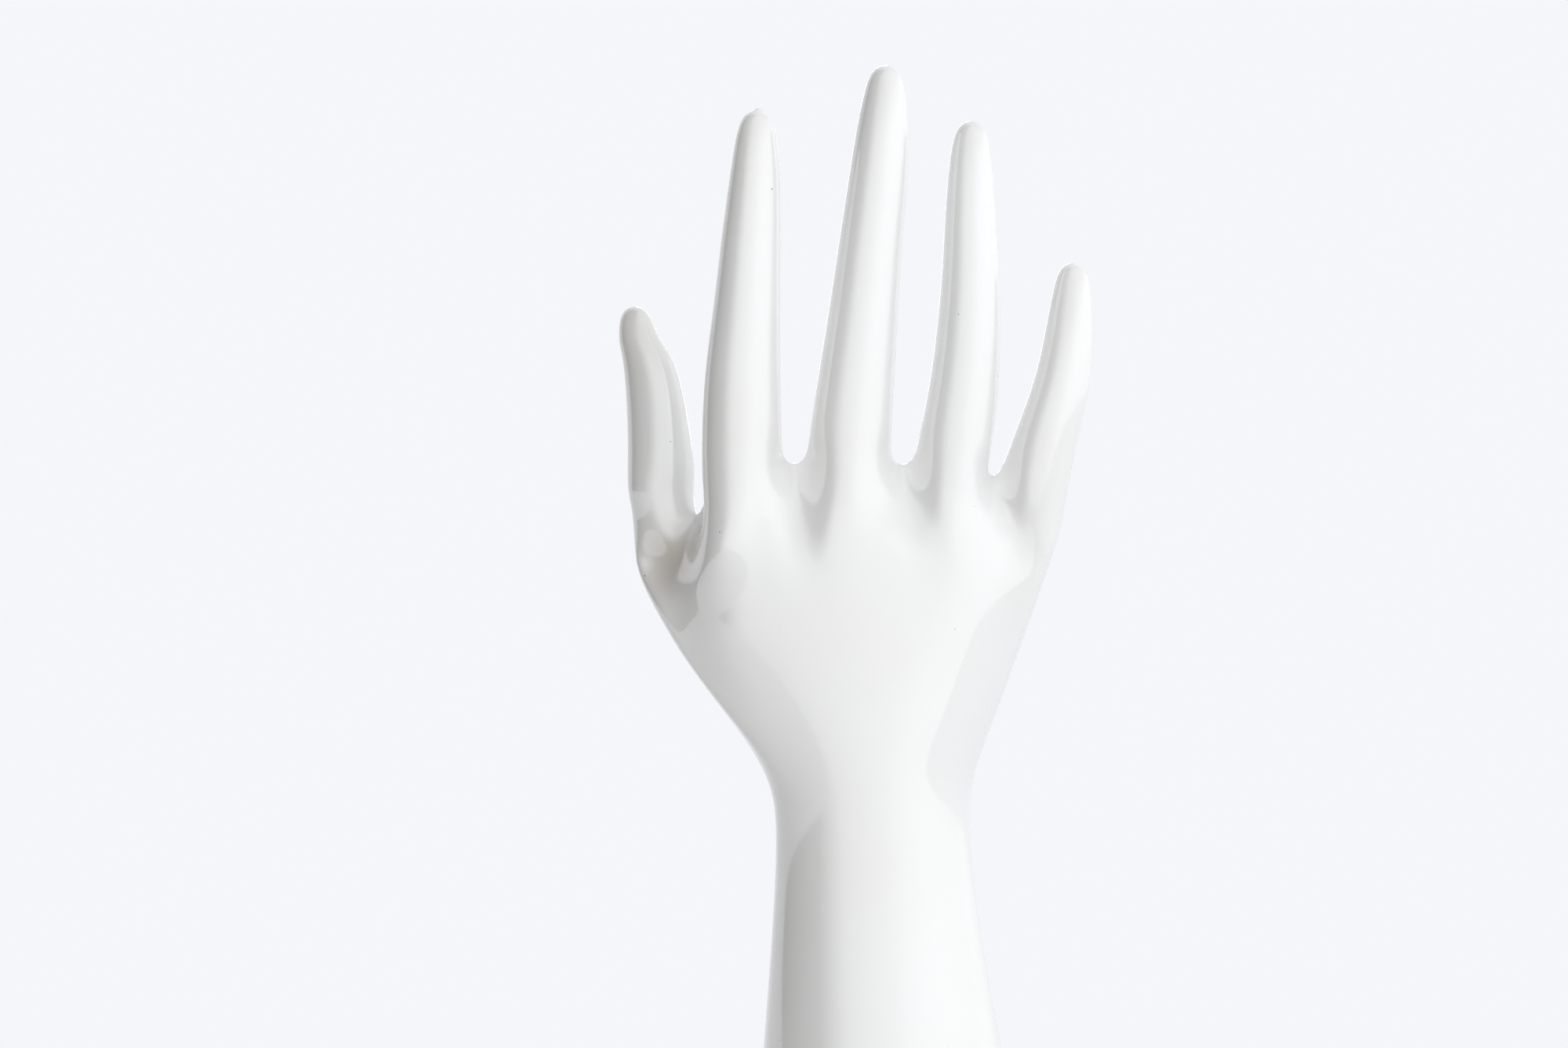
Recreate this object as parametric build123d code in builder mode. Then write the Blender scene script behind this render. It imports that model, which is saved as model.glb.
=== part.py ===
"""A life-size ceramic hand with a flared forearm that stands upright on a felt pad.

The ceramic is hollow slip ware: the forearm, the palm, the thumb and the four fingers are castings
stuck together with slip on level joints, then glazed over as one. A ceramic disc closes the foot.

Frame: Z up, origin on the table under the middle of the foot, X across the hand towards the little
finger, Y from the back of the hand towards the palm. Lengths are in millimetres.
"""

import os
from math import cos, radians, sin
from typing import NamedTuple

from build123d import *

# Rises from one feature of the hand to the next, upwards from the table
FELT_THICKNESS = 2.0
FOREARM_LENGTH = 166.0  # felt to the narrowest part of the wrist
PALM_LENGTH = 91.0  # wrist to the skin between the fingers
ROOT_RISE = 7.0  # that skin to the joints of the fingers
KNUCKLE_DROP = 26.0  # from those joints down to the knuckles, and again to the ends of the rays
THUMB_RISE = 78.0  # wrist to the joint of the thumb

# Widths across the hand and depths from its back to its palm
FOOT_WIDTH = 80.0
FOOT_DEPTH = 76.0
WRIST_WIDTH = 49.0
WRIST_DEPTH = 39.0
HEEL_WIDTH = 57.0
HEEL_DEPTH = 37.0
KNUCKLE_WIDTH = 83.0
KNUCKLE_DEPTH = 31.0
WEB_DEPTH = 9.0
WEB_INSET = 4.2  # from the outer side of the finger row to the end of the web
FLARE_EASE = 0.82  # under 1, the forearm opens sooner above the wrist than towards the foot

# Sideways places, and how far the web lies towards the palm
WRIST_X = -6.3
HEEL_X = -4.0
KNUCKLE_X = -5.0
FINGER_ROW_X = -1.8
WEB_Y = 4.0

# Slip ware
WALL = 4.0  # fired wall of the castings
FOOT_WALL = 7.0  # rim round the disc
DISC_LEDGE = 3.0  # how far the ledge above the disc reaches over it
LEDGE_HEIGHT = 5.0
DISC_THICKNESS = 6.0
DISC_GAP = 0.2  # slip joint round the disc
VENT_DIAMETER = 6.0  # lets the air out of the hollow in the kiln
FELT_INSET = 1.5

# The finger row, and the rays that carry the fingers through the palm
INDEX_MIDDLE_GAP = 7.0
MIDDLE_RING_GAP = 7.2
RING_LITTLE_GAP = 5.4
RAY_WIDTH = 16.0  # where a ray ends inside the palm
KNUCKLE_SIZES = [23.0, 25.0, 24.0, 20.0]
KNUCKLE_PLACES = [-38.0, -13.0, 11.5, 30.0]  # across the hand

# Fingers above their joints, from the index finger to the little finger
FINGER_NAMES = ["index_finger", "middle_finger", "ring_finger", "little_finger"]
FINGER_LENGTHS = [82.2, 94.0, 78.8, 42.8]
FINGER_WIDTHS = [20.6, 21.0, 19.0, 16.2]
FINGER_DEPTHS = [19.0, 19.4, 17.6, 15.0]
TIP_WIDTHS = [13.2, 13.8, 13.0, 11.6]  # where the rounded tips begin
TIP_LENGTHS = [13.0, 14.0, 14.5, 13.0]
FINGER_LEANS = [3.7, 9.1, 3.9, 6.9]  # sideways shifts of the tips
FINGER_BOWS = [0.0, 0.3, 1.6, 1.6]  # sideways shifts of the middles
FINGER_CURLS = [6.0, 8.0, 9.0, 7.0]  # shifts of the tips towards the palm

# The root of the thumb, from the wrist over its swelling to the thumb's joint
THENAR_WIDTH = 33.0
THENAR_DEPTH = 30.0
THENAR_X = -13.0
THENAR_Y = 2.0
SWELL_WIDTH = 38.0
SWELL_DEPTH = 30.0
SWELL_X = -25.0
SWELL_Y = 8.0
UPPER_SWELL_WIDTH = 35.0
UPPER_SWELL_DEPTH = 25.0
UPPER_SWELL_X = -45.0
UPPER_SWELL_Y = 14.0
THUMB_X = -60.0
THUMB_Y = 21.0

# The flesh that joins the root of the thumb to the palm, from the wrist up to the crook of the thumb
FLESH_WIDTHS = [44.0, 58.0, 66.0, 26.0]
FLESH_DEPTHS = [36.0, 34.0, 33.0, 19.0]
FLESH_X_PLACES = [-8.0, -17.5, -31.0, -41.0]
FLESH_Y_PLACES = [0.5, 4.0, 7.5, 7.0]
FLESH_TURNS = [0.0, -12.0, -20.0, -22.0]  # degrees, the thumb's side towards the palm

# Thumb above its joint, with the same sizes as a finger
THUMB_LENGTH = 51.6
THUMB_WIDTH = 19.0
THUMB_DEPTH = 18.6
THUMB_TIP_WIDTH = 14.0
THUMB_TIP_LENGTH = 18.0
THUMB_LEAN = -9.6
THUMB_BOW = 2.4
THUMB_CURL = 7.0

TIP_TURN = radians(45)  # the slice of a rounded tip that is halfway round to its point


class Section(NamedTuple):
    """A level, oval slice of the hand."""

    height: float
    x: float
    y: float
    width: float
    depth: float
    turn: float = 0.0  # degrees round its middle

    def inside(self, wall):
        """The same slice of the hollow, one wall in from the outside."""
        return self._replace(width=self.width - 2 * wall, depth=self.depth - 2 * wall)


class Digit(NamedTuple):
    """A finger or the thumb above its joint."""

    name: str
    length: float
    width: float
    depth: float
    tip_width: float
    tip_length: float
    lean: float
    bow: float
    curl: float


fingers = [
    Digit(*sizes)
    for sizes in zip(
        FINGER_NAMES,
        FINGER_LENGTHS,
        FINGER_WIDTHS,
        FINGER_DEPTHS,
        TIP_WIDTHS,
        TIP_LENGTHS,
        FINGER_LEANS,
        FINGER_BOWS,
        FINGER_CURLS,
    )
]
thumb = Digit(
    "thumb",
    THUMB_LENGTH,
    THUMB_WIDTH,
    THUMB_DEPTH,
    THUMB_TIP_WIDTH,
    THUMB_TIP_LENGTH,
    THUMB_LEAN,
    THUMB_BOW,
    THUMB_CURL,
)

# Heights above the table that follow from the rises
wrist_height = FELT_THICKNESS + FOREARM_LENGTH
web_height = wrist_height + PALM_LENGTH
root_height = web_height + ROOT_RISE
knuckle_height = root_height - KNUCKLE_DROP
ray_height = knuckle_height - KNUCKLE_DROP
thumb_height = wrist_height + THUMB_RISE


def oval(section):
    """Outline of a slice in quarter arcs, so that the corners of one slice follow the next."""
    with BuildSketch(Plane.XY.offset(section.height)) as outline:
        with BuildLine():
            for start in (0, 90, 180, 270):
                EllipticalCenterArc(
                    (section.x, section.y),
                    section.width / 2,
                    section.depth / 2,
                    start,
                    arc_size=90,
                    rotation=section.turn,
                )
        make_face()
    return outline.sketch


def ovals(sections, wall=0.0):
    return [oval(section.inside(wall)) for section in sections]


def between(low, high, share):
    return low + (high - low) * share


def digit_slice(digit, root, rise, width):
    """The slice of a finger or thumb at a rise above its joint."""
    share = rise / digit.length
    x = root.x + digit.lean * share + 4 * digit.bow * share * (1 - share)
    y = root.y + digit.curl * share**2
    return Section(root.height + rise, x, y, width, width * digit.depth / digit.width)


def digit_body(digit, root):
    """Slices of a digit from its joint to where its rounded tip begins."""
    taper = digit.length - digit.tip_length
    middle_width = between(digit.width, digit.tip_width, 0.5)
    return [
        root,
        digit_slice(digit, root, taper / 2, middle_width),
        digit_slice(digit, root, taper, digit.tip_width),
    ]


def digit_tip(digit, root):
    """Slices of the rounded tip, and its point."""
    taper = digit.length - digit.tip_length
    turn_rise = taper + digit.tip_length * sin(TIP_TURN)
    slices = [
        digit_slice(digit, root, taper, digit.tip_width),
        digit_slice(digit, root, turn_rise, digit.tip_width * cos(TIP_TURN)),
    ]
    return slices, Vertex(root.x + digit.lean, root.y + digit.curl, root.height + digit.length)


os.makedirs("parts", exist_ok=True)

# Forearm: it opens from the wrist to the foot in an S-curve, through evenly spaced slices
foot = Section(FELT_THICKNESS, 0, 0, FOOT_WIDTH, FOOT_DEPTH)
wrist = Section(wrist_height, WRIST_X, 0, WRIST_WIDTH, WRIST_DEPTH)
forearm_slices = []
for share in (0, 0.25, 0.5, 0.75, 1):
    eased = (1 - share) ** FLARE_EASE
    flare = eased**2 * (3 - 2 * eased)
    height = between(foot.height, wrist.height, share)
    x = between(wrist.x, foot.x, flare)
    width = between(wrist.width, foot.width, flare)
    depth = between(wrist.depth, foot.depth, flare)
    forearm_slices.append(Section(height, x, 0, width, depth))

ledge_height = FELT_THICKNESS + DISC_THICKNESS
disc_opening = foot.inside(FOOT_WALL)
ledge_opening = disc_opening.inside(DISC_LEDGE)._replace(height=ledge_height)

forearm_inside = ovals(forearm_slices, WALL)
with BuildPart() as forearm_hollow:
    loft(forearm_inside)
    split(bisect_by=Plane.XY.offset(ledge_height + LEDGE_HEIGHT), keep=Keep.TOP)

forearm_outside = ovals(forearm_slices)
disc_hole = oval(disc_opening)
ledge_hole = oval(ledge_opening)
with BuildPart() as forearm:
    loft(forearm_outside)
    add(forearm_hollow.part, mode=Mode.SUBTRACT)
    extrude(disc_hole, amount=DISC_THICKNESS, mode=Mode.SUBTRACT)
    extrude(ledge_hole, amount=LEDGE_HEIGHT, mode=Mode.SUBTRACT)
forearm.part.label = "forearm"
export_step(forearm.part, "parts/forearm.step")

# Palm: evenly spaced slices from the wrist to the thin web between the fingers
gaps = [INDEX_MIDDLE_GAP, MIDDLE_RING_GAP, RING_LITTLE_GAP]
row_width = sum(FINGER_WIDTHS) + sum(gaps)
heel_height = between(wrist_height, web_height, 1 / 3)
upper_palm_height = between(wrist_height, web_height, 2 / 3)
palm_slices = [
    wrist,
    Section(heel_height, HEEL_X, 0, HEEL_WIDTH, HEEL_DEPTH),
    Section(upper_palm_height, KNUCKLE_X, 0, KNUCKLE_WIDTH, KNUCKLE_DEPTH),
    Section(web_height, FINGER_ROW_X, WEB_Y, row_width - 2 * WEB_INSET, WEB_DEPTH),
]

# A ray carries each finger: it starts inside the palm, swells at the knuckle and ends at the joint
finger_roots = []
rays = []
edge = FINGER_ROW_X - row_width / 2
ray_share = (ray_height - wrist_height) / (knuckle_height - wrist_height)
for finger, gap, size, place in zip(fingers, gaps + [0], KNUCKLE_SIZES, KNUCKLE_PLACES):
    root = Section(root_height, edge + finger.width / 2, 0, finger.width, finger.depth)
    knuckle = Section(knuckle_height, place, 0, size, size)
    ray_end = Section(ray_height, between(WRIST_X, place, ray_share), 0, RAY_WIDTH, RAY_WIDTH)
    rays.append([ray_end, knuckle, root])
    finger_roots.append(root)
    edge += finger.width + gap

thumb_root = Section(thumb_height, THUMB_X, THUMB_Y, THUMB_WIDTH, THUMB_DEPTH)
swell_height = between(wrist_height, thumb_height, 1 / 3)
upper_swell_height = between(wrist_height, thumb_height, 2 / 3)
thenar_slices = [
    Section(wrist_height, THENAR_X, THENAR_Y, THENAR_WIDTH, THENAR_DEPTH),
    Section(swell_height, SWELL_X, SWELL_Y, SWELL_WIDTH, SWELL_DEPTH),
    Section(upper_swell_height, UPPER_SWELL_X, UPPER_SWELL_Y, UPPER_SWELL_WIDTH, UPPER_SWELL_DEPTH),
    thumb_root,
]

flesh_heights = [section.height for section in thenar_slices]
flesh_slices = [
    Section(*sizes)
    for sizes in zip(
        flesh_heights, FLESH_X_PLACES, FLESH_Y_PLACES, FLESH_WIDTHS, FLESH_DEPTHS, FLESH_TURNS
    )
]

limbs = [palm_slices, thenar_slices, flesh_slices] + rays
hollows = [palm_slices[:3], thenar_slices, flesh_slices[:3]] + rays
limb_outsides = [ovals(slices) for slices in limbs]
limb_hollows = [ovals(slices, WALL) for slices in hollows]
with BuildPart() as palm:
    for outside in limb_outsides:
        loft(outside)
    for hollow in limb_hollows:
        loft(hollow, mode=Mode.SUBTRACT)
palm.part.label = "palm"
export_step(palm.part, "parts/palm.step")

# Thumb and fingers: hollow to where the rounded tip begins
for digit, root in zip([thumb] + fingers, [thumb_root] + finger_roots):
    body_slices = digit_body(digit, root)
    tip_slices, tip_point = digit_tip(digit, root)
    body_outside = ovals(body_slices)
    body_hollow = ovals(body_slices, WALL)
    tip_outside = ovals(tip_slices) + [tip_point]
    with BuildPart() as casting:
        loft(body_outside)
        loft(tip_outside)
        loft(body_hollow, mode=Mode.SUBTRACT)
    casting.part.label = digit.name
    export_step(casting.part, f"parts/{digit.name}.step")

# Disc stuck into the foot under its ledge, with a hole that vents the hollow
disc_outline = oval(disc_opening.inside(DISC_GAP))
with BuildPart() as base_disc:
    extrude(disc_outline, amount=DISC_THICKNESS)
    with Locations((0, 0, ledge_height)):
        Hole(VENT_DIAMETER / 2)
base_disc.part.label = "base_disc"
export_step(base_disc.part, "parts/base_disc.step")

# Felt glued under the rim and the disc
felt_outline = oval(foot.inside(FELT_INSET)._replace(height=0))
with BuildPart() as felt_pad:
    extrude(felt_outline, amount=FELT_THICKNESS)
felt_pad.part.label = "felt_pad"
export_step(felt_pad.part, "parts/felt_pad.step")
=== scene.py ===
import math
from typing import NamedTuple

import bmesh
import bpy
from mathutils import Matrix, Vector


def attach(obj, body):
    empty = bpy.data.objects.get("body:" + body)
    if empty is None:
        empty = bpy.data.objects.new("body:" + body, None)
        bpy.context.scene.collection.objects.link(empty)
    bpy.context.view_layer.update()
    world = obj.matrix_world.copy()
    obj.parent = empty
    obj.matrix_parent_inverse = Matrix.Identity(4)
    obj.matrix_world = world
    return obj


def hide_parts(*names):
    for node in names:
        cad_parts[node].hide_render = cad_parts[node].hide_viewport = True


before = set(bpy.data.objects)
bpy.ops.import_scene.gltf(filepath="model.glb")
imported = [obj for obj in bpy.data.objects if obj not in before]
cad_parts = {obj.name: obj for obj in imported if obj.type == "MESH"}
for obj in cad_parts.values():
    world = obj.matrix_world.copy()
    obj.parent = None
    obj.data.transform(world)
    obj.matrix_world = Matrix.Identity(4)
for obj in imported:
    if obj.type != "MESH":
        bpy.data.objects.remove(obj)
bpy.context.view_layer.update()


# Forearm: a hollow porcelain casting that flares from the wrist down to an oval foot, whose rim is
# rebated for the base disc. Here the skin of the whole hand starts: one cage in millimetres, drawn up
# ring upon ring from the foot, and cut into the castings once it is smooth.
FOOT = (80, 76)
FOOT_HEIGHT = 2
FOOT_WALL = 7
FOOT_ROUND = 2.5
ROUND_MIDDLE = 0.25         # how far in the middle of that round stands, as a share of it
REBATE_DEPTH = 6
REBATE_EASE = 0.4
WRIST = (49, 39)
WRIST_HEIGHT = 168
WRIST_X = -6.3
FLARE_EASE = 0.82           # under 1, the flare opens sooner below the wrist
FLARE_RINGS = 8

DIGIT_COUNT = 5
STATIONS = 3 * DIGIT_COUNT  # three points across each digit, on the back and on the front
STEP = math.pi / (STATIONS + 1)
BACK, MIDDLE, FRONT = -1, 0, 1


def smooth(share):
    share = min(max(share, 0), 1)
    return share * share * (3 - 2 * share)


def mix(start, end, share):
    return start + (end - start) * share


def grown(size, margin):
    return [length + 2 * margin for length in size]


def oval_point(station, side, size, x, z):
    """A point of an upright oval slice, counted from the thumb's edge to the little finger's."""
    turn = STEP * (station + 1)
    if side == MIDDLE:
        turn = 0 if station == 0 else math.pi
    return Vector((x - size[0] / 2 * math.cos(turn), side * size[1] / 2 * math.sin(turn), z))


def put_points(place):
    """Moves each selected point of the cage to place(station, side)."""
    cage = bmesh.from_edit_mesh(hand.data)
    station = cage.verts.layers.int["station"]
    side = cage.verts.layers.int["side"]
    for point in cage.verts:
        if point.select:
            point.co = place(point[station], point[side])
    bmesh.update_edit_mesh(hand.data)


def raise_slice(place):
    bpy.ops.mesh.extrude_region_move()
    put_points(place)


bpy.ops.object.select_all(action='DESELECT')
bpy.ops.mesh.primitive_circle_add(vertices=2 * (STATIONS + 1), radius=1)
hand = bpy.context.object
hand.name = "hand_skin"
bpy.ops.object.mode_set(mode='EDIT')

cage = bmesh.from_edit_mesh(hand.data)
station_layer = cage.verts.layers.int.new("station")
side_layer = cage.verts.layers.int.new("side")
for point in cage.verts:
    turn = round(math.atan2(abs(point.co.y), -point.co.x) / STEP)
    at_an_end = turn in (0, STATIONS + 1)
    point[station_layer] = min(max(turn - 1, 0), STATIONS - 1)
    point[side_layer] = MIDDLE if at_an_end else FRONT if point.co.y > 0 else BACK

foot_opening = grown(FOOT, -FOOT_WALL)
foot_slices = [
    (foot_opening, FOOT_HEIGHT + REBATE_DEPTH),
    (foot_opening, FOOT_HEIGHT + REBATE_DEPTH / 2),
    (foot_opening, FOOT_HEIGHT + REBATE_EASE),
    (grown(foot_opening, REBATE_EASE), FOOT_HEIGHT),
    (grown(FOOT, -FOOT_ROUND), FOOT_HEIGHT),
    (grown(FOOT, -ROUND_MIDDLE * FOOT_ROUND), FOOT_HEIGHT + ROUND_MIDDLE * FOOT_ROUND),
    (FOOT, FOOT_HEIGHT + FOOT_ROUND),
]
bpy.ops.mesh.select_all(action='SELECT')
size, height = foot_slices[0]
put_points(lambda station, side: oval_point(station, side, size, 0, height))
for size, height in foot_slices[1:]:
    raise_slice(lambda station, side: oval_point(station, side, size, 0, height))

for ring in range(1, FLARE_RINGS + 1):
    share = ring / FLARE_RINGS
    flare = smooth((1 - share) ** FLARE_EASE)
    size = [mix(wrist, foot, flare) for wrist, foot in zip(WRIST, FOOT)]
    x = mix(WRIST_X, 0, flare)
    height = mix(FOOT_HEIGHT, WRIST_HEIGHT, share)
    raise_slice(lambda station, side: oval_point(station, side, size, x, height))


# Palm: a hollow casting that opens from the oval wrist to a row of five roots, with the thumb's root
# turned out of the row. Its slices run from the wrist to that row, whose top is then closed with four
# faces for each digit.
PALM_SLICES = 7
THUMB_EDGE = -76.5
LITTLE_EDGE = 43.5
KNUCKLE_DEPTH = 30
THUMB_LEAN = 20
WEB_HEIGHTS = [248, 261, 260.5, 256]

# Shares of the palm's height at which its little finger's edge, its roots and their corners start
LITTLE_EDGE_START = 0.1
ROOTS_START = 0.35
CORNERS_START = 0.55


class Root(NamedTuple):
    centre: tuple           # across the hand, and towards the palm
    width: float
    depth: float
    back_height: float
    front_height: float
    tilt: float             # how much the back rises from the thumb's side to the other
    turn: float             # about the upright, in degrees


roots = [
    Root((-59.4, 19.8), 22, 19, 233, 238, -12, -22),
    Root((-39.8, 0), 22.4, 22.4, 240, 254, 12, 0),
    Root((-12.6, -1), 23.2, 23, 245, 255, 0, 0),
    Root((13.0, -0.5), 20, 21.6, 244, 254, 0, 0),
    Root((33.6, 1), 18.4, 19, 239, 250, -4, 0),
]


class Swell(NamedTuple):
    across: float           # 0 at the little finger's edge, 1 at the thumb's
    up: float               # 0 at the wrist, 1 at the roots
    reach: float
    rise: float


swells = [
    Swell(0.82, 0.5, 0.45, 12),     # ball of the thumb
    Swell(0.14, 0.42, 0.4, 5),      # heel of the hand
    Swell(0.45, 0.72, 0.3, -2.5),   # hollow of the palm
]


def past(start, share):
    """How far a share has come on the way from a start to 1."""
    return (share - start) / (1 - start)


def across(spot, side, width, depth, turn, roundness=1):
    """A point of a digit's eight-sided slice. spot is -1, 0 or 1 from the thumb's side on."""
    corner = math.sqrt(0.5) if spot and side else 1
    along = Vector((math.cos(math.radians(turn)), math.sin(math.radians(turn)), 0))
    front = Vector((-along.y, along.x, 0))
    return (spot * width * corner * along + side * depth * mix(1, corner, roundness) * front) / 2


def root_point(station, side, roundness=1):
    root = roots[station // 3]
    spot = station % 3 - 1
    back_height = root.back_height + root.tilt * spot / 2
    height = mix(back_height, root.front_height, (side + 1) / 2)
    if side == MIDDLE and spot and station not in (0, STATIONS - 1):
        height = WEB_HEIGHTS[(station - 1) // 3]
    centre = Vector((*root.centre, height))
    return centre + across(spot, side, root.width, root.depth, root.turn, roundness)


def palm_point(station, side, share):
    """A slice of the palm is an oval that leans to the thumb, and opens into the row of roots."""
    end = root_point(station, side, smooth(past(CORNERS_START, share)))
    thumb_edge = mix(WRIST_X - WRIST[0] / 2, THUMB_EDGE, smooth(share))
    little_edge = mix(WRIST_X + WRIST[0] / 2, LITTLE_EDGE, max(past(LITTLE_EDGE_START, share), 0))
    size = (little_edge - thumb_edge, mix(WRIST[1], KNUCKLE_DEPTH, share))
    height = mix(WRIST_HEIGHT, end.z, share)
    point = oval_point(station, side, size, (little_edge + thumb_edge) / 2, height)
    to_thumb = (little_edge - point.x) / (little_edge - thumb_edge)
    point.y += THUMB_LEAN * (share * to_thumb) ** 2
    point = point.lerp(end, smooth(past(ROOTS_START, share)))
    for swell in swells:
        away = math.hypot(to_thumb - swell.across, share - swell.up) / swell.reach
        point.y += swell.rise * smooth(1 - away) * (side + 1) / 2
    return point


for ring in range(1, PALM_SLICES + 1):
    share = ring / PALM_SLICES
    raise_slice(lambda station, side: palm_point(station, side, share))

cage = bmesh.from_edit_mesh(hand.data)
station_layer = cage.verts.layers.int["station"]
side_layer = cage.verts.layers.int["side"]
top_edges = [edge for edge in cage.edges if edge.select]
bpy.ops.mesh.select_all(action='DESELECT')
for edge in top_edges:
    edge.select_set(all(point[side_layer] != MIDDLE for point in edge.verts))
bmesh.update_edit_mesh(hand.data)
known = len(cage.verts)
bpy.ops.mesh.fill_grid()

cage = bmesh.from_edit_mesh(hand.data)
cage.verts.ensure_lookup_table()
for point in cage.verts[known:]:
    neighbours = [edge.other_vert(point) for edge in point.link_edges]
    back = next(other for other in neighbours if other[side_layer] == BACK)
    point[station_layer] = back[station_layer]
    point[side_layer] = MIDDLE
    point.co = root_point(point[station_layer], MIDDLE)
bmesh.update_edit_mesh(hand.data)


# Digits: four fingers and a thumb, hollow castings stuck on the palm's roots with slip. Each is drawn
# out of its four faces of the palm's top, slice by slice, and ends in a round tip. The thumb grows
# flatter on its way up.
MM = 0.001                  # in metres
CAGE_SWELL = 1.109          # an eight-sided cage is this much larger than its smooth skin
ROUND_DEPTH = 0.94          # from back to front, as a share of the width
FLAT_BY = 0.5               # share of a digit's height at which it has its own depth

# The tip's two last slices: the last but one is a ring, and the last a cap with a raised middle
TIP_WIDTH = 0.82            # of the ring, as a share of the slice below it
TIP_BEND = 0.7              # how far the ring has moved over to the tip
TIP_LENGTH = 1.5            # from the ring to the end, in radii of the ring
CAP_WIDTH = 1.44            # in radii of the ring
CAP_DROP = 0.15             # from the end down to the cap, as a share of the tip's length
CAP_RISE = 0.33             # of the cap's middle, as a share of the tip's length


class Digit(NamedTuple):
    node: str
    slices: list            # height, place across the hand and width
    tip: tuple              # place across the hand and height
    curl: float             # how far the tip leans towards the palm
    root_y: float = 0
    turn: float = 0         # about the upright, in degrees
    depth: float = ROUND_DEPTH


digits = [
    Digit("thumb", [(246, -60.6, 19.6), (256, -60.9, 18.8), (266, -61.7, 18), (276, -62.7, 17),
                    (286, -64.6, 14.8)], (-68.2, 299.2), 7, root_y=21, turn=-40, depth=0.72),
    Digit("index_finger", [(266, -39.7, 20.6), (282, -39.6, 19.2), (298, -38.4, 17.0),
                           (314, -37.5, 15.4), (328, -36.5, 13.6)], (-36, 348.2), 6),
    Digit("middle_finger", [(266, -12.0, 21.0), (282, -10.3, 19.3), (298, -8.5, 17.7), (314, -6.9, 16.2),
                            (330, -4.9, 15.2), (343, -3.6, 13.9)], (-2.8, 360), 8),
    Digit("ring_finger", [(266, 15.3, 19.0), (280, 17.3, 17.4), (294, 18.4, 16.2), (308, 18.9, 14.6),
                          (322, 18.8, 13.2)], (19.2, 345.8), 9),
    Digit("little_finger", [(266, 38.3, 16.4), (275, 41.2, 15.1), (284, 43.0, 13.5),
                            (292, 44.0, 12.2)], (45.2, 309.2), 7),
]

for number, digit in enumerate(digits):
    bpy.ops.mesh.select_all(action='DESELECT')
    cage = bmesh.from_edit_mesh(hand.data)
    station_layer = cage.verts.layers.int["station"]
    side_layer = cage.verts.layers.int["side"]
    for point in cage.verts:
        if point[station_layer] == 3 * number + 1 and point[side_layer] == MIDDLE:
            for face in point.link_faces:
                face.select_set(True)
    bmesh.update_edit_mesh(hand.data)

    root_height = digit.slices[0][0]
    top_x, top_width = digit.slices[-1][1:]
    tip_x, tip_height = digit.tip
    tip_radius = top_width / 2 * TIP_WIDTH
    tip_length = TIP_LENGTH * tip_radius
    ring = (tip_height - tip_length, mix(top_x, tip_x, TIP_BEND), 2 * tip_radius, 0)
    cap = (tip_height - CAP_DROP * tip_length, tip_x, CAP_WIDTH * tip_radius, CAP_RISE * tip_length)
    slices = [(height, x, width, 0) for height, x, width in digit.slices]
    for height, x, width, crown in [*slices, ring, cap]:
        rise = (height - root_height) / (tip_height - root_height)
        y = digit.root_y + digit.curl * rise * rise
        depth = width * mix(ROUND_DEPTH, digit.depth, smooth(rise / FLAT_BY))

        def slice_point(station, side):
            spot = station % 3 - 1
            place = across(spot, side, width * CAGE_SWELL, depth * CAGE_SWELL, digit.turn)
            lift = crown if spot == 0 and side == MIDDLE else 0
            return Vector((x, y, height + lift)) + place

        raise_slice(slice_point)

# Every face is marked with the number of its casting, and the cage is brought to metres
HAIR = 0.01                 # leeway, so that a digit's lowest slice counts as its own
castings = ["forearm", "palm", *[digit.node for digit in digits]]
cage = bmesh.from_edit_mesh(hand.data)
station_layer = cage.verts.layers.int["station"]
for face in cage.faces:
    owner = "palm" if face.calc_center_median().z > WRIST_HEIGHT else "forearm"
    numbers = {point[station_layer] // 3 for point in face.verts}
    lowest = min(point.co.z for point in face.verts)
    for number, digit in enumerate(digits):
        if numbers == {number} and lowest > digit.slices[0][0] - HAIR:
            owner = digit.node
    face.material_index = castings.index(owner)
bmesh.update_edit_mesh(hand.data)
bpy.ops.mesh.select_all(action='SELECT')
bpy.ops.mesh.normals_make_consistent(inside=False)
bpy.ops.transform.resize(value=(MM, MM, MM), center_override=(0, 0, 0))
bpy.ops.object.mode_set(mode='OBJECT')


# Joints: the digits are stuck to the palm with slip, and the slip that fills the corners between them
# is smoothed out with a wet sponge. The cage is rounded once before that, so that it has enough
# points there.
SPONGE_FORCE = 0.5


class Corner(NamedTuple):
    centre: tuple
    reach: float
    strokes: int


corners = [
    Corner((-53.5, 6, 232), 23, 4),
    Corner((-57, 25, 240), 17, 6),
    Corner((-26, -4, 247), 15, 4),
    Corner((1, -4, 247), 14, 4),
    Corner((25, -2, 242), 13, 4),
    Corner((-26, 9, 254), 12, 3),
    Corner((1, 9, 254), 12, 3),
    Corner((25, 9, 250), 12, 3),
]


def round_off(to_the_limit=False):
    """Rounds the cage, and splits each of its faces into four."""
    rounding = hand.modifiers.new("rounding", 'SUBSURF')
    rounding.levels = rounding.render_levels = 1
    rounding.use_limit_surface = to_the_limit
    bpy.ops.object.modifier_apply(modifier=rounding.name)


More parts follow.
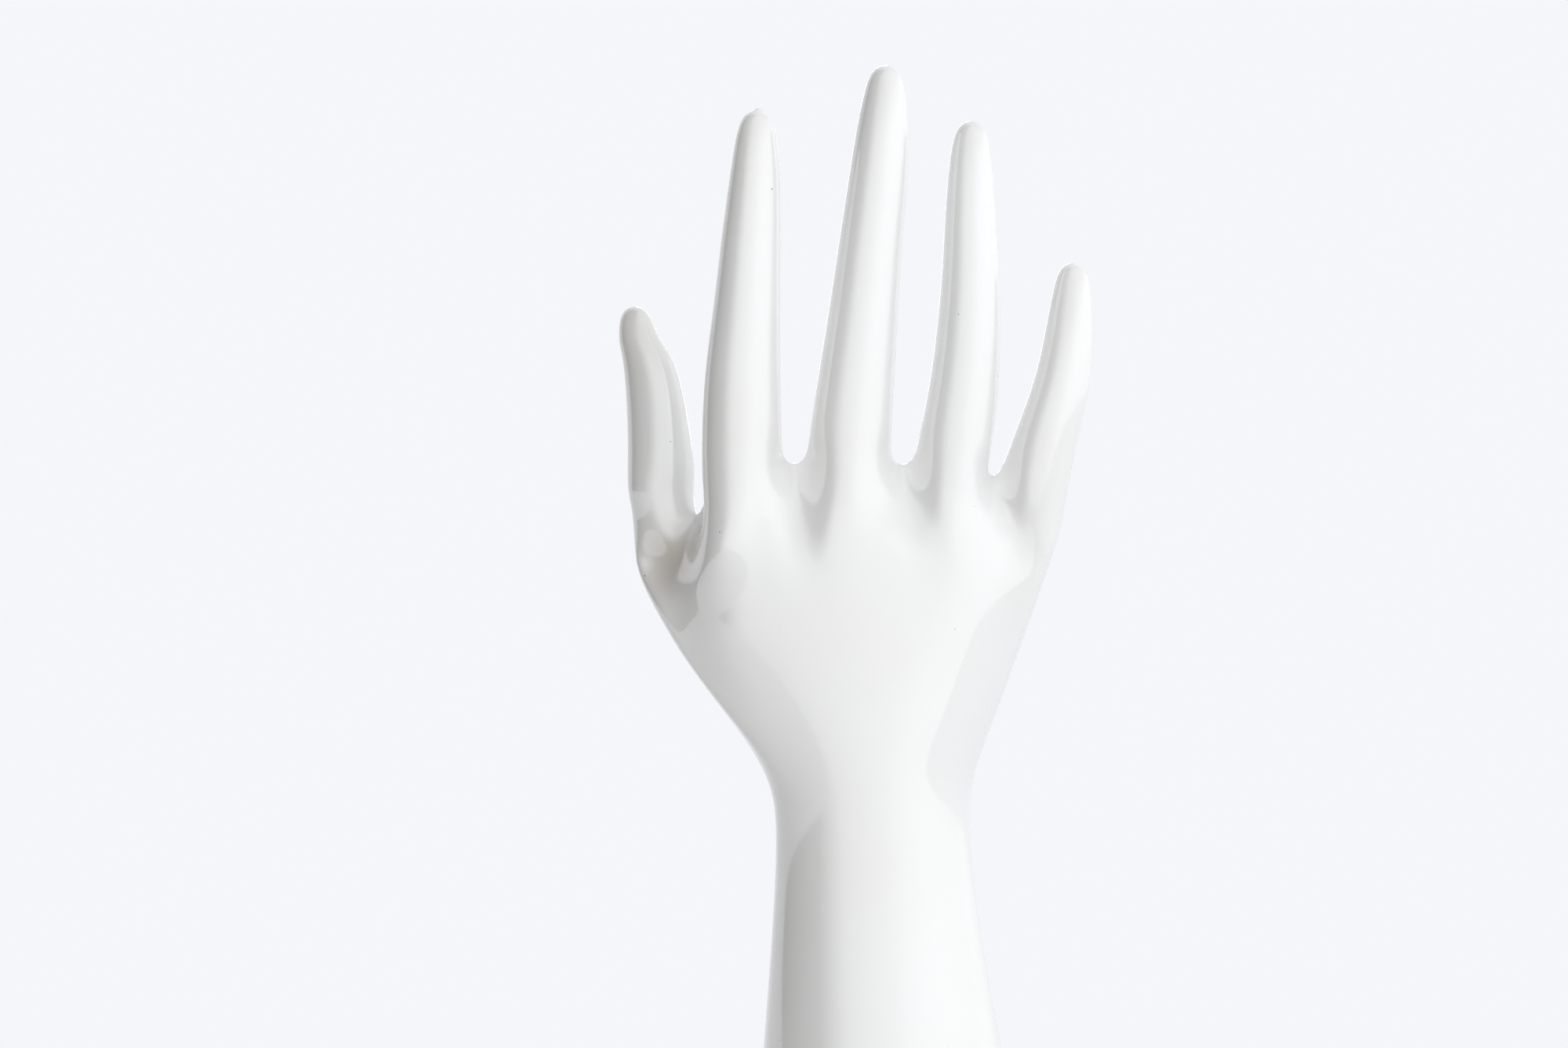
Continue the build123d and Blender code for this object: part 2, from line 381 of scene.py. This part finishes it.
round_off()
for corner in corners:
    bpy.ops.object.mode_set(mode='EDIT')
    bpy.ops.mesh.select_all(action='DESELECT')
    bpy.ops.object.mode_set(mode='OBJECT')
    for point in hand.data.vertices:
        point.select = (point.co / MM - Vector(corner.centre)).length < corner.reach
    bpy.ops.object.mode_set(mode='EDIT')
    bpy.ops.mesh.vertices_smooth(factor=SPONGE_FORCE, repeat=corner.strokes)
    bpy.ops.object.mode_set(mode='OBJECT')


# Knuckles: while the clay is soft, a round tool is drawn down the back between the knuckles, and into
# the fold beside the thumb. It works on what faces it, runs out slowly at the foot of each groove and
# lifts off quickly just past its top.
FOOT_RUN = 0.625            # share of a groove's length over which it deepens from its foot
TOP_RUN = 0.15              # share of its length over which it ends past its top
FACING_GAIN = 2


class Groove(NamedTuple):
    top: tuple
    foot: tuple
    reach: float
    push: tuple


grooves = [
    Groove((-25.5, -5, 260), (-23, -8, 222), 9, (0, 4.5, 0)),
    Groove((1, -5, 260), (8, -8, 226), 9, (0, 2.8, 0)),
    Groove((24, -4, 256), (31, -7, 226), 8.5, (0, 2.2, 0)),
    Groove((-54, 6, 250), (-54, 6, 236), 9, (2, 5, 0)),
]

round_off()
normals = [point.normal.copy() for point in hand.data.vertices]
for point, normal in zip(hand.data.vertices, normals):
    place = point.co / MM
    for groove in grooves:
        top, foot, push = Vector(groove.top), Vector(groove.foot), Vector(groove.push)
        up = (place.z - foot.z) / (top.z - foot.z)
        aside = (place - foot.lerp(top, up)).length / groove.reach
        facing = smooth(-FACING_GAIN * normal.dot(push.normalized()))
        along = smooth(up / FOOT_RUN) * smooth((1 + TOP_RUN - up) / TOP_RUN)
        point.co += MM * along * smooth(1 - aside) * facing * push


# Touching up: one knuckle is filled out and the back of the thumb's root is pressed in by hand, before
# the last rounding. After it come the marks of firing and of use: a drip of glaze on the index
# fingertip, and the little finger's tip, which is worn.
class Dab(NamedTuple):
    centre: tuple
    reach: float
    push: tuple


knuckle = Dab((-47, -6, 237), 16, (-0.8, -2.2, 0))
thumb_root = Dab((-64, 8, 231), 12, (0, 3.5, 0))
drip = Dab((-35.6, 6, 348.2), 1.9, (0.2, 0, 0.9))
worn_tip = Dab((47.4, 7, 307.6), 3.4, (-0.6, 0, -0.7))


def press(dab):
    for point in hand.data.vertices:
        near = smooth(1 - (point.co / MM - Vector(dab.centre)).length / dab.reach)
        point.co += MM * near * Vector(dab.push)


press(knuckle)
press(thumb_root)
round_off(to_the_limit=True)
press(drip)
press(worn_tip)
bpy.ops.object.shade_smooth()


# Glaze: one glossy white coat over all the castings, fired until it runs smooth. It is thin and warm
# towards the tips, most of all the thumb's. The fold beside the thumb is painted a darker warm grey,
# a painted shade. It has a few pinholes and a slight swell, and is wiped off the ring that the foot
# stands on.
class Shader:
    """The nodes of one material or world. A node comes with its settings and its sockets."""

    def __init__(self, owner):
        owner.use_nodes = True
        self.tree = owner.node_tree
        self.tree.nodes.clear()

    def node(self, kind, settings=None, **sockets):
        made = self.tree.nodes.new(kind)
        for name, setting in (settings or {}).items():
            if name == "stops":
                ramp = made.color_ramp.elements
                while len(ramp) < len(setting):
                    ramp.new(0.5)
                for stop, (position, colour) in zip(ramp, setting):
                    stop.position = position
                    stop.color = (*colour, 1)
            else:
                setattr(made, name, setting)
        for name, value in sockets.items():
            wanted = name.replace("_", " ").strip().lower()
            socket = next(s for s in made.inputs if s.enabled and s.name.lower() == wanted)
            self.feed(socket, value)
        return made

    def feed(self, socket, value):
        if isinstance(value, Value):
            value = value.socket
        if isinstance(value, bpy.types.NodeSocket):
            self.tree.links.new(value, socket)
        else:
            socket.default_value = value

    def value(self, kind, output, settings=None, **sockets):
        return Value(self, self.node(kind, settings, **sockets).outputs[output])

    def maths(self, operation, *numbers):
        made = self.node('ShaderNodeMath', {"operation": operation})
        for socket, number in zip(made.inputs, numbers):
            self.feed(socket, number)
        return Value(self, made.outputs[0])

    def blend(self, share, start, end):
        """A colour between two colours."""
        return self.node('ShaderNodeMix', {"data_type": 'RGBA'}, factor=share, a=start, b=end).outputs[2]

    def place(self):
        return self.node('ShaderNodeTexCoord').outputs["Object"]

    def cloud(self, size, detail=2):
        """Soft noise from 0 to 1, with lumps of a size in metres."""
        return self.value('ShaderNodeTexNoise', 0, vector=self.place(), scale=1 / size, detail=detail)

    def away(self, spot):
        """The distance from a spot, in metres."""
        made = self.node('ShaderNodeVectorMath', {"operation": 'DISTANCE'}, vector=self.place())
        made.inputs[1].default_value = spot
        return Value(self, made.outputs["Value"])

    def bump(self, height, depth):
        return self.node('ShaderNodeBump', height=height, distance=depth, strength=1).outputs[0]


class Value:
    """A number on a socket, on which Python's operators make Math nodes."""

    def __init__(self, shader, socket):
        self.shader = shader
        self.socket = socket

    def __add__(self, other):
        return self.shader.maths('ADD', self, other)

    __radd__ = __add__

    def __sub__(self, other):
        return self.shader.maths('SUBTRACT', self, other)

    def __rsub__(self, other):
        return self.shader.maths('SUBTRACT', other, self)

    def __mul__(self, other):
        return self.shader.maths('MULTIPLY', self, other)

    __rmul__ = __mul__

    def __truediv__(self, other):
        return self.shader.maths('DIVIDE', self, other)

    def between(self, low, high):
        """0 at low, 1 at high, eased at both."""
        return self.shader.value('ShaderNodeMapRange', 0, {"interpolation_type": 'SMOOTHSTEP'},
                                 value=self, from_min=low, from_max=high)


# Colours, with the sizes of patches and the distances of fades in metres
WHITE = (0.9, 0.903, 0.9, 1)
MILKY = (0.885, 0.885, 0.872, 1)
MILKY_PATCH = 0.045
MILKY_CONTRAST = (0.3, 0.75)
WARM = (0.86, 0.835, 0.79, 1)
WARMTH = 0.75
FINGER_SHARE = 0.25         # of the thumb's warmth
WARM_REACH = (0.003, 0.03)
WARM_PATCH = 0.02
WARM_CONTRAST = (0.2, 0.8)
# Painted shade: a darker warm grey painted into the fold beside the thumb, with its spot, reach and
# strength
PAINTED_FOLD_SHADE = (0.7, 0.655, 0.585, 1)
FOLD_SHADE_SPOT = (-0.0585, 0.009, 0.233)
FOLD_SHADE_REACH = (0.001, 0.015)
FOLD_SHADE_STRENGTH = 0.75
PINHOLE = (0.2, 0.17, 0.14, 1)
PINHOLE_CELLS = 105         # cells to the metre, with a spot in each that the surface seldom meets
PINHOLE_SPOT = (0.012, 0.034)
PINHOLE_STRENGTH = 0.85
BARE = (0.83, 0.8, 0.75, 1)
BARE_RING = (0.0022, 0.0036)

# Roughness, and the heights of the relief in millimetres
GLOSS = 0.2
GLOSS_CHANGE = 0.06
GLOSS_PATCH = 0.015
BARE_DRYNESS = 0.4
SWELL_HEIGHT = 0.12
SWELL_SIZE = 0.03
RIPPLE_HEIGHT = 0.004
RIPPLE_SIZE = 0.003
PINHOLE_DEPTH = 0.1

glaze = bpy.data.materials.new("white_glaze")
shader = Shader(glaze)
thin = 0
for digit in digits:
    tip_x, tip_height = digit.tip
    tip = MM * Vector((tip_x, digit.root_y + digit.curl, tip_height))
    share = 1 if digit.node == "thumb" else FINGER_SHARE
    thin = thin + share * (1 - shader.away(tip).between(*WARM_REACH))
thin = thin * shader.cloud(WARM_PATCH).between(*WARM_CONTRAST)
# painted shade in the fold beside the thumb, strongest at its spot
painted_fold_shade = 1 - shader.away(FOLD_SHADE_SPOT).between(*FOLD_SHADE_REACH)
above_table = shader.value('ShaderNodeSeparateXYZ', "Z", vector=shader.place())
bare = 1 - above_table.between(*BARE_RING)
cells = shader.value('ShaderNodeTexVoronoi', "Distance", vector=shader.place(), scale=PINHOLE_CELLS)
hole = 1 - cells.between(*PINHOLE_SPOT)

colour = shader.blend(shader.cloud(MILKY_PATCH).between(*MILKY_CONTRAST), WHITE, MILKY)
colour = shader.blend(thin * WARMTH, colour, WARM)
# the fold beside the thumb is painted darker, a painted shade
colour = shader.blend(painted_fold_shade * FOLD_SHADE_STRENGTH, colour, PAINTED_FOLD_SHADE)
colour = shader.blend(hole * PINHOLE_STRENGTH, colour, PINHOLE)
colour = shader.blend(bare, colour, BARE)
roughness = GLOSS + GLOSS_CHANGE * shader.cloud(GLOSS_PATCH) + BARE_DRYNESS * bare
relief = SWELL_HEIGHT * shader.cloud(SWELL_SIZE, detail=0) + RIPPLE_HEIGHT * shader.cloud(RIPPLE_SIZE)
relief = relief - PINHOLE_DEPTH * hole
surface = shader.node('ShaderNodeBsdfPrincipled', base_color=colour, roughness=roughness, ior=1.5,
                      coat_weight=1 - bare, coat_roughness=0.045, coat_ior=1.7,
                      normal=shader.bump(relief, MM))
shader.node('ShaderNodeOutputMaterial', surface=surface.outputs[0])

# Each casting is cut out of the whole skin, keeps its shine over the cut, and is closed there
for number, node in enumerate(castings):
    bpy.ops.object.select_all(action='DESELECT')
    hand.select_set(True)
    bpy.context.view_layer.objects.active = hand
    bpy.ops.object.duplicate()
    casting = bpy.context.object
    casting.name = node + "_skin"
    for face in casting.data.polygons:
        face.select = face.material_index != number
    bpy.ops.object.mode_set(mode='EDIT')
    bpy.ops.mesh.select_mode(type='FACE')
    bpy.ops.mesh.delete(type='FACE')
    bpy.ops.mesh.select_mode(type='EDGE')
    bpy.ops.mesh.select_all(action='DESELECT')
    bpy.ops.mesh.select_non_manifold()
    bpy.ops.mesh.mark_sharp()
    bpy.ops.object.mode_set(mode='OBJECT')

    shine = casting.modifiers.new("shine", 'DATA_TRANSFER')
    shine.object = hand
    shine.use_loop_data = True
    shine.data_types_loops = {'CUSTOM_NORMAL'}
    shine.loop_mapping = 'NEAREST_POLYNOR'
    bpy.ops.object.modifier_apply(modifier=shine.name)
    bpy.ops.object.mode_set(mode='EDIT')
    bpy.ops.mesh.fill_holes(sides=0)
    bpy.ops.object.mode_set(mode='OBJECT')

    casting.data.materials.clear()
    casting.data.materials.append(glaze)
    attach(casting, "root")
    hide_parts(node)
bpy.data.objects.remove(hand)


# Base disc: a plain round of the same clay, left unglazed, stuck under the ledge inside the foot. Its
# solid has the right shape, so it keeps it and takes a dry, sandy finish.
DUSTY = (0.76, 0.72, 0.66, 1)
DUST_PATCH = 0.012
DUST_CONTRAST = (0.3, 0.7)
GRAIN_SIZE = 0.0006
GRAIN_DEPTH = 0.00015
DRYNESS = 0.62
GRAIN_DRYNESS = 0.2

bisque = bpy.data.materials.new("bare_bisque")
shader = Shader(bisque)
grain = shader.cloud(GRAIN_SIZE, detail=3)
colour = shader.blend(shader.cloud(DUST_PATCH, detail=4).between(*DUST_CONTRAST), BARE, DUSTY)
roughness = DRYNESS + GRAIN_DRYNESS * grain
surface = shader.node('ShaderNodeBsdfPrincipled', base_color=colour, roughness=roughness,
                      normal=shader.bump(grain, GRAIN_DEPTH))
shader.node('ShaderNodeOutputMaterial', surface=surface.outputs[0])
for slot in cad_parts["base_disc"].material_slots:
    slot.material = bisque


# Felt pad: an oval of pressed wool, cut with shears and glued under the rim and the disc. Its cut
# edge is soft, and short fibres stand out of its faces.
FELT = (77, 73)
FELT_THICKNESS = 2
FELT_EDGE = 0.7
EDGE_STEPS = 3
FELT_SIDES = 160
SOFT_ANGLE = 40             # in degrees
GREY_WOOL = (0.5, 0.49, 0.47, 1)
PALE_WOOL = (0.62, 0.61, 0.59, 1)
WOOL_CONTRAST = (0.35, 0.65)
FIBRE_SIZE = 0.0009
FIBRE_DEPTH = 0.0004
FIBRE_SHARE = 0.6           # of the colour's change, of which the tufts make the rest
TUFT_SIZE = 0.006

bpy.ops.object.select_all(action='DESELECT')
bpy.ops.mesh.primitive_circle_add(vertices=FELT_SIDES, radius=MM / 2, fill_type='NGON')
felt = bpy.context.object
felt.name = "felt_round"
bpy.ops.object.mode_set(mode='EDIT')
bpy.ops.transform.resize(value=(*FELT, 1), center_override=(0, 0, 0))
bpy.ops.mesh.extrude_region_move(TRANSFORM_OT_translate={"value": (0, 0, FELT_THICKNESS * MM)})
bpy.ops.mesh.select_all(action='SELECT')
bpy.ops.mesh.normals_make_consistent(inside=False)
bpy.ops.mesh.bevel(offset=FELT_EDGE * MM, segments=EDGE_STEPS, affect='EDGES')
bpy.ops.object.mode_set(mode='OBJECT')
bpy.ops.object.shade_smooth_by_angle(angle=math.radians(SOFT_ANGLE))

wool = bpy.data.materials.new("wool_felt")
shader = Shader(wool)
fibres = shader.cloud(FIBRE_SIZE, detail=5)
tufts = shader.cloud(TUFT_SIZE, detail=3)
fleck = FIBRE_SHARE * fibres + (1 - FIBRE_SHARE) * tufts
colour = shader.blend(fleck.between(*WOOL_CONTRAST), GREY_WOOL, PALE_WOOL)
surface = shader.node('ShaderNodeBsdfPrincipled', base_color=colour, roughness=0.95, sheen_weight=0.4,
                      normal=shader.bump(fibres, FIBRE_DEPTH))
shader.node('ShaderNodeOutputMaterial', surface=surface.outputs[0])
felt.data.materials.append(wool)
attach(felt, "root")
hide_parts("felt_pad")


# Studio: a pale sweep of floor that meets a pale background. Soft light comes from the front and the
# right, the left side is dim, and a strip lamp behind the hand puts highlights on its palm side. The
# camera stands level, at the height of the palm.
BACKGROUND = (0.913, 0.921, 0.955)
DIM = (0.004, 0.0037, 0.0034)
FRONT_LIGHT = (0.74, 0.742, 0.75)
WINDOW_LIGHT = (0.82, 0.825, 0.835)
SIDE_LIGHT = (0.6, 0.603, 0.61)
BACK_LIGHT = (0.5, 0.503, 0.51)
CORNER_LIGHT = (0.38, 0.382, 0.388)
walls = [                   # by their bearing, in degrees to the right of the camera
    (-180, BACK_LIGHT), (-121, CORNER_LIGHT), (-118, DIM), (-57, DIM), (-29, FRONT_LIGHT),
    (14, FRONT_LIGHT), (20, WINDOW_LIGHT), (42, WINDOW_LIGHT), (100, SIDE_LIGHT), (150, SIDE_LIGHT),
    (180, BACK_LIGHT),
]
WALL_STRENGTH = 2.14
CEILING_LOSS = 1.04
CEILING = (0.42, 0.75)      # how far up a direction points where the walls turn into the ceiling
BACKDROP = (0.35, 0.95)     # how far back it points where reflections find the background


def rays(shader):
    """Which rays arrive: from the camera, off something glossy or through something clear."""
    path = shader.node('ShaderNodeLightPath')
    kinds = ["Is Camera Ray", "Is Glossy Ray", "Is Transmission Ray"]
    return [Value(shader, path.outputs[kind]) for kind in kinds]


def mixed(shader, share, start, end):
    """A shader between two shaders."""
    both = shader.node('ShaderNodeMixShader', fac=share)
    shader.feed(both.inputs[1], start.outputs[0])
    shader.feed(both.inputs[2], end.outputs[0])
    return both


world = bpy.data.worlds.new("studio")
bpy.context.scene.world = world
light = Shader(world)
way = light.node('ShaderNodeTexCoord').outputs["Generated"]
parts = light.node('ShaderNodeSeparateXYZ', vector=way)
x, y, z = (Value(light, parts.outputs[axis]) for axis in range(3))
bearing = light.maths('ARCTAN2', x, y * -1) / (2 * math.pi) + 0.5
stops = [(degrees / 360 + 0.5, colour) for degrees, colour in walls]
sides = light.node('ShaderNodeValToRGB', {"stops": stops}, fac=bearing)
strength = WALL_STRENGTH - CEILING_LOSS * z.between(*CEILING)
room = light.node('ShaderNodeBackground', color=sides.outputs[0], strength=strength)
plain = light.node('ShaderNodeBackground', color=(*BACKGROUND, 1), strength=1)
from_camera, off_gloss, through_glass = rays(light)
level = light.maths('SQRT', 1 - z * z)
seen = from_camera + (off_gloss + through_glass) * (y / level).between(*BACKDROP)
light.node('ShaderNodeOutputWorld', surface=mixed(light, seen, room, plain).outputs[0])

LAMP_PLACE = (-0.03, 1.45, 0.6)
LAMP_AIM = (0, 0, 0.2)
LAMP_SIZE = (0.16, 1)
LAMP_POWER = 1.8
bpy.ops.object.light_add(type='AREA', location=LAMP_PLACE)
lamp = bpy.context.object
lamp.name = "strip_lamp"
lamp.rotation_euler = (Vector(LAMP_AIM) - Vector(LAMP_PLACE)).to_track_quat('-Z', 'Y').to_euler()
lamp.data.shape = 'RECTANGLE'
lamp.data.size, lamp.data.size_y = LAMP_SIZE
lamp.data.energy = LAMP_POWER
lamp.visible_camera = False

# The floor's paper is painted darker on the dim side, a painted shade, and fades into the background
# further off
FLOOR_SIZE = 8
FLOOR_DROP = 0.0005
SHADED_PAPER = (0.53, 0.515, 0.49)
SHADED_FILL = (0.58, 0.595, 0.645)
LIT_PAPER = (0.85, 0.85, 0.86)
LIT_FILL = (0.33, 0.34, 0.37)
SHADE_EDGES = (-0.25, 0.25)     # from the left to the right, in metres
FADE = (0.35, 0.75)             # away from the hand, in metres
bpy.ops.object.select_all(action='DESELECT')
bpy.ops.mesh.primitive_plane_add(size=FLOOR_SIZE)
floor = bpy.context.object
floor.name = "studio_floor"
floor.data.transform(Matrix.Translation((0, 0, -FLOOR_DROP)))
paper = bpy.data.materials.new("floor_paper")
shader = Shader(paper)
from_camera, off_gloss, through_glass = rays(shader)
seen = from_camera + off_gloss + through_glass


def paper_side(colour, fill):
    """One side of the floor: matte paper, filled up to the background's level where it is seen."""
    matte = shader.node('ShaderNodeBsdfDiffuse', color=(*colour, 1))
    level = shader.node('ShaderNodeEmission', color=(*fill, 1), strength=seen)
    added = shader.node('ShaderNodeAddShader')
    shader.feed(added.inputs[0], matte.outputs[0])
    shader.feed(added.inputs[1], level.outputs[0])
    return added


# painted shade: the paper on the left side is given a darker colour than on the right
shaded = paper_side(SHADED_PAPER, SHADED_FILL)
lit = paper_side(LIT_PAPER, LIT_FILL)
to_the_right = shader.value('ShaderNodeSeparateXYZ', "X", vector=shader.place())
near = mixed(shader, to_the_right.between(*SHADE_EDGES), shaded, lit)
far = shader.node('ShaderNodeEmission', color=(*BACKGROUND, 1), strength=1)
surface = mixed(shader, seen * shader.away((0, 0, 0)).between(*FADE), near, far)
shader.node('ShaderNodeOutputMaterial', surface=surface.outputs[0])
floor.data.materials.append(paper)

CAMERA_PLACE = (-0.029, -0.944, 0.2421)
LENS = 85
SENSOR = 36
camera = bpy.data.objects.new("camera", bpy.data.cameras.new("camera"))
bpy.context.collection.objects.link(camera)
camera.location = CAMERA_PLACE
camera.rotation_euler = (math.pi / 2, 0, 0)
camera.data.lens = LENS
camera.data.sensor_width = SENSOR
bpy.context.scene.camera = camera
bpy.context.scene.view_settings.view_transform = 'Standard'
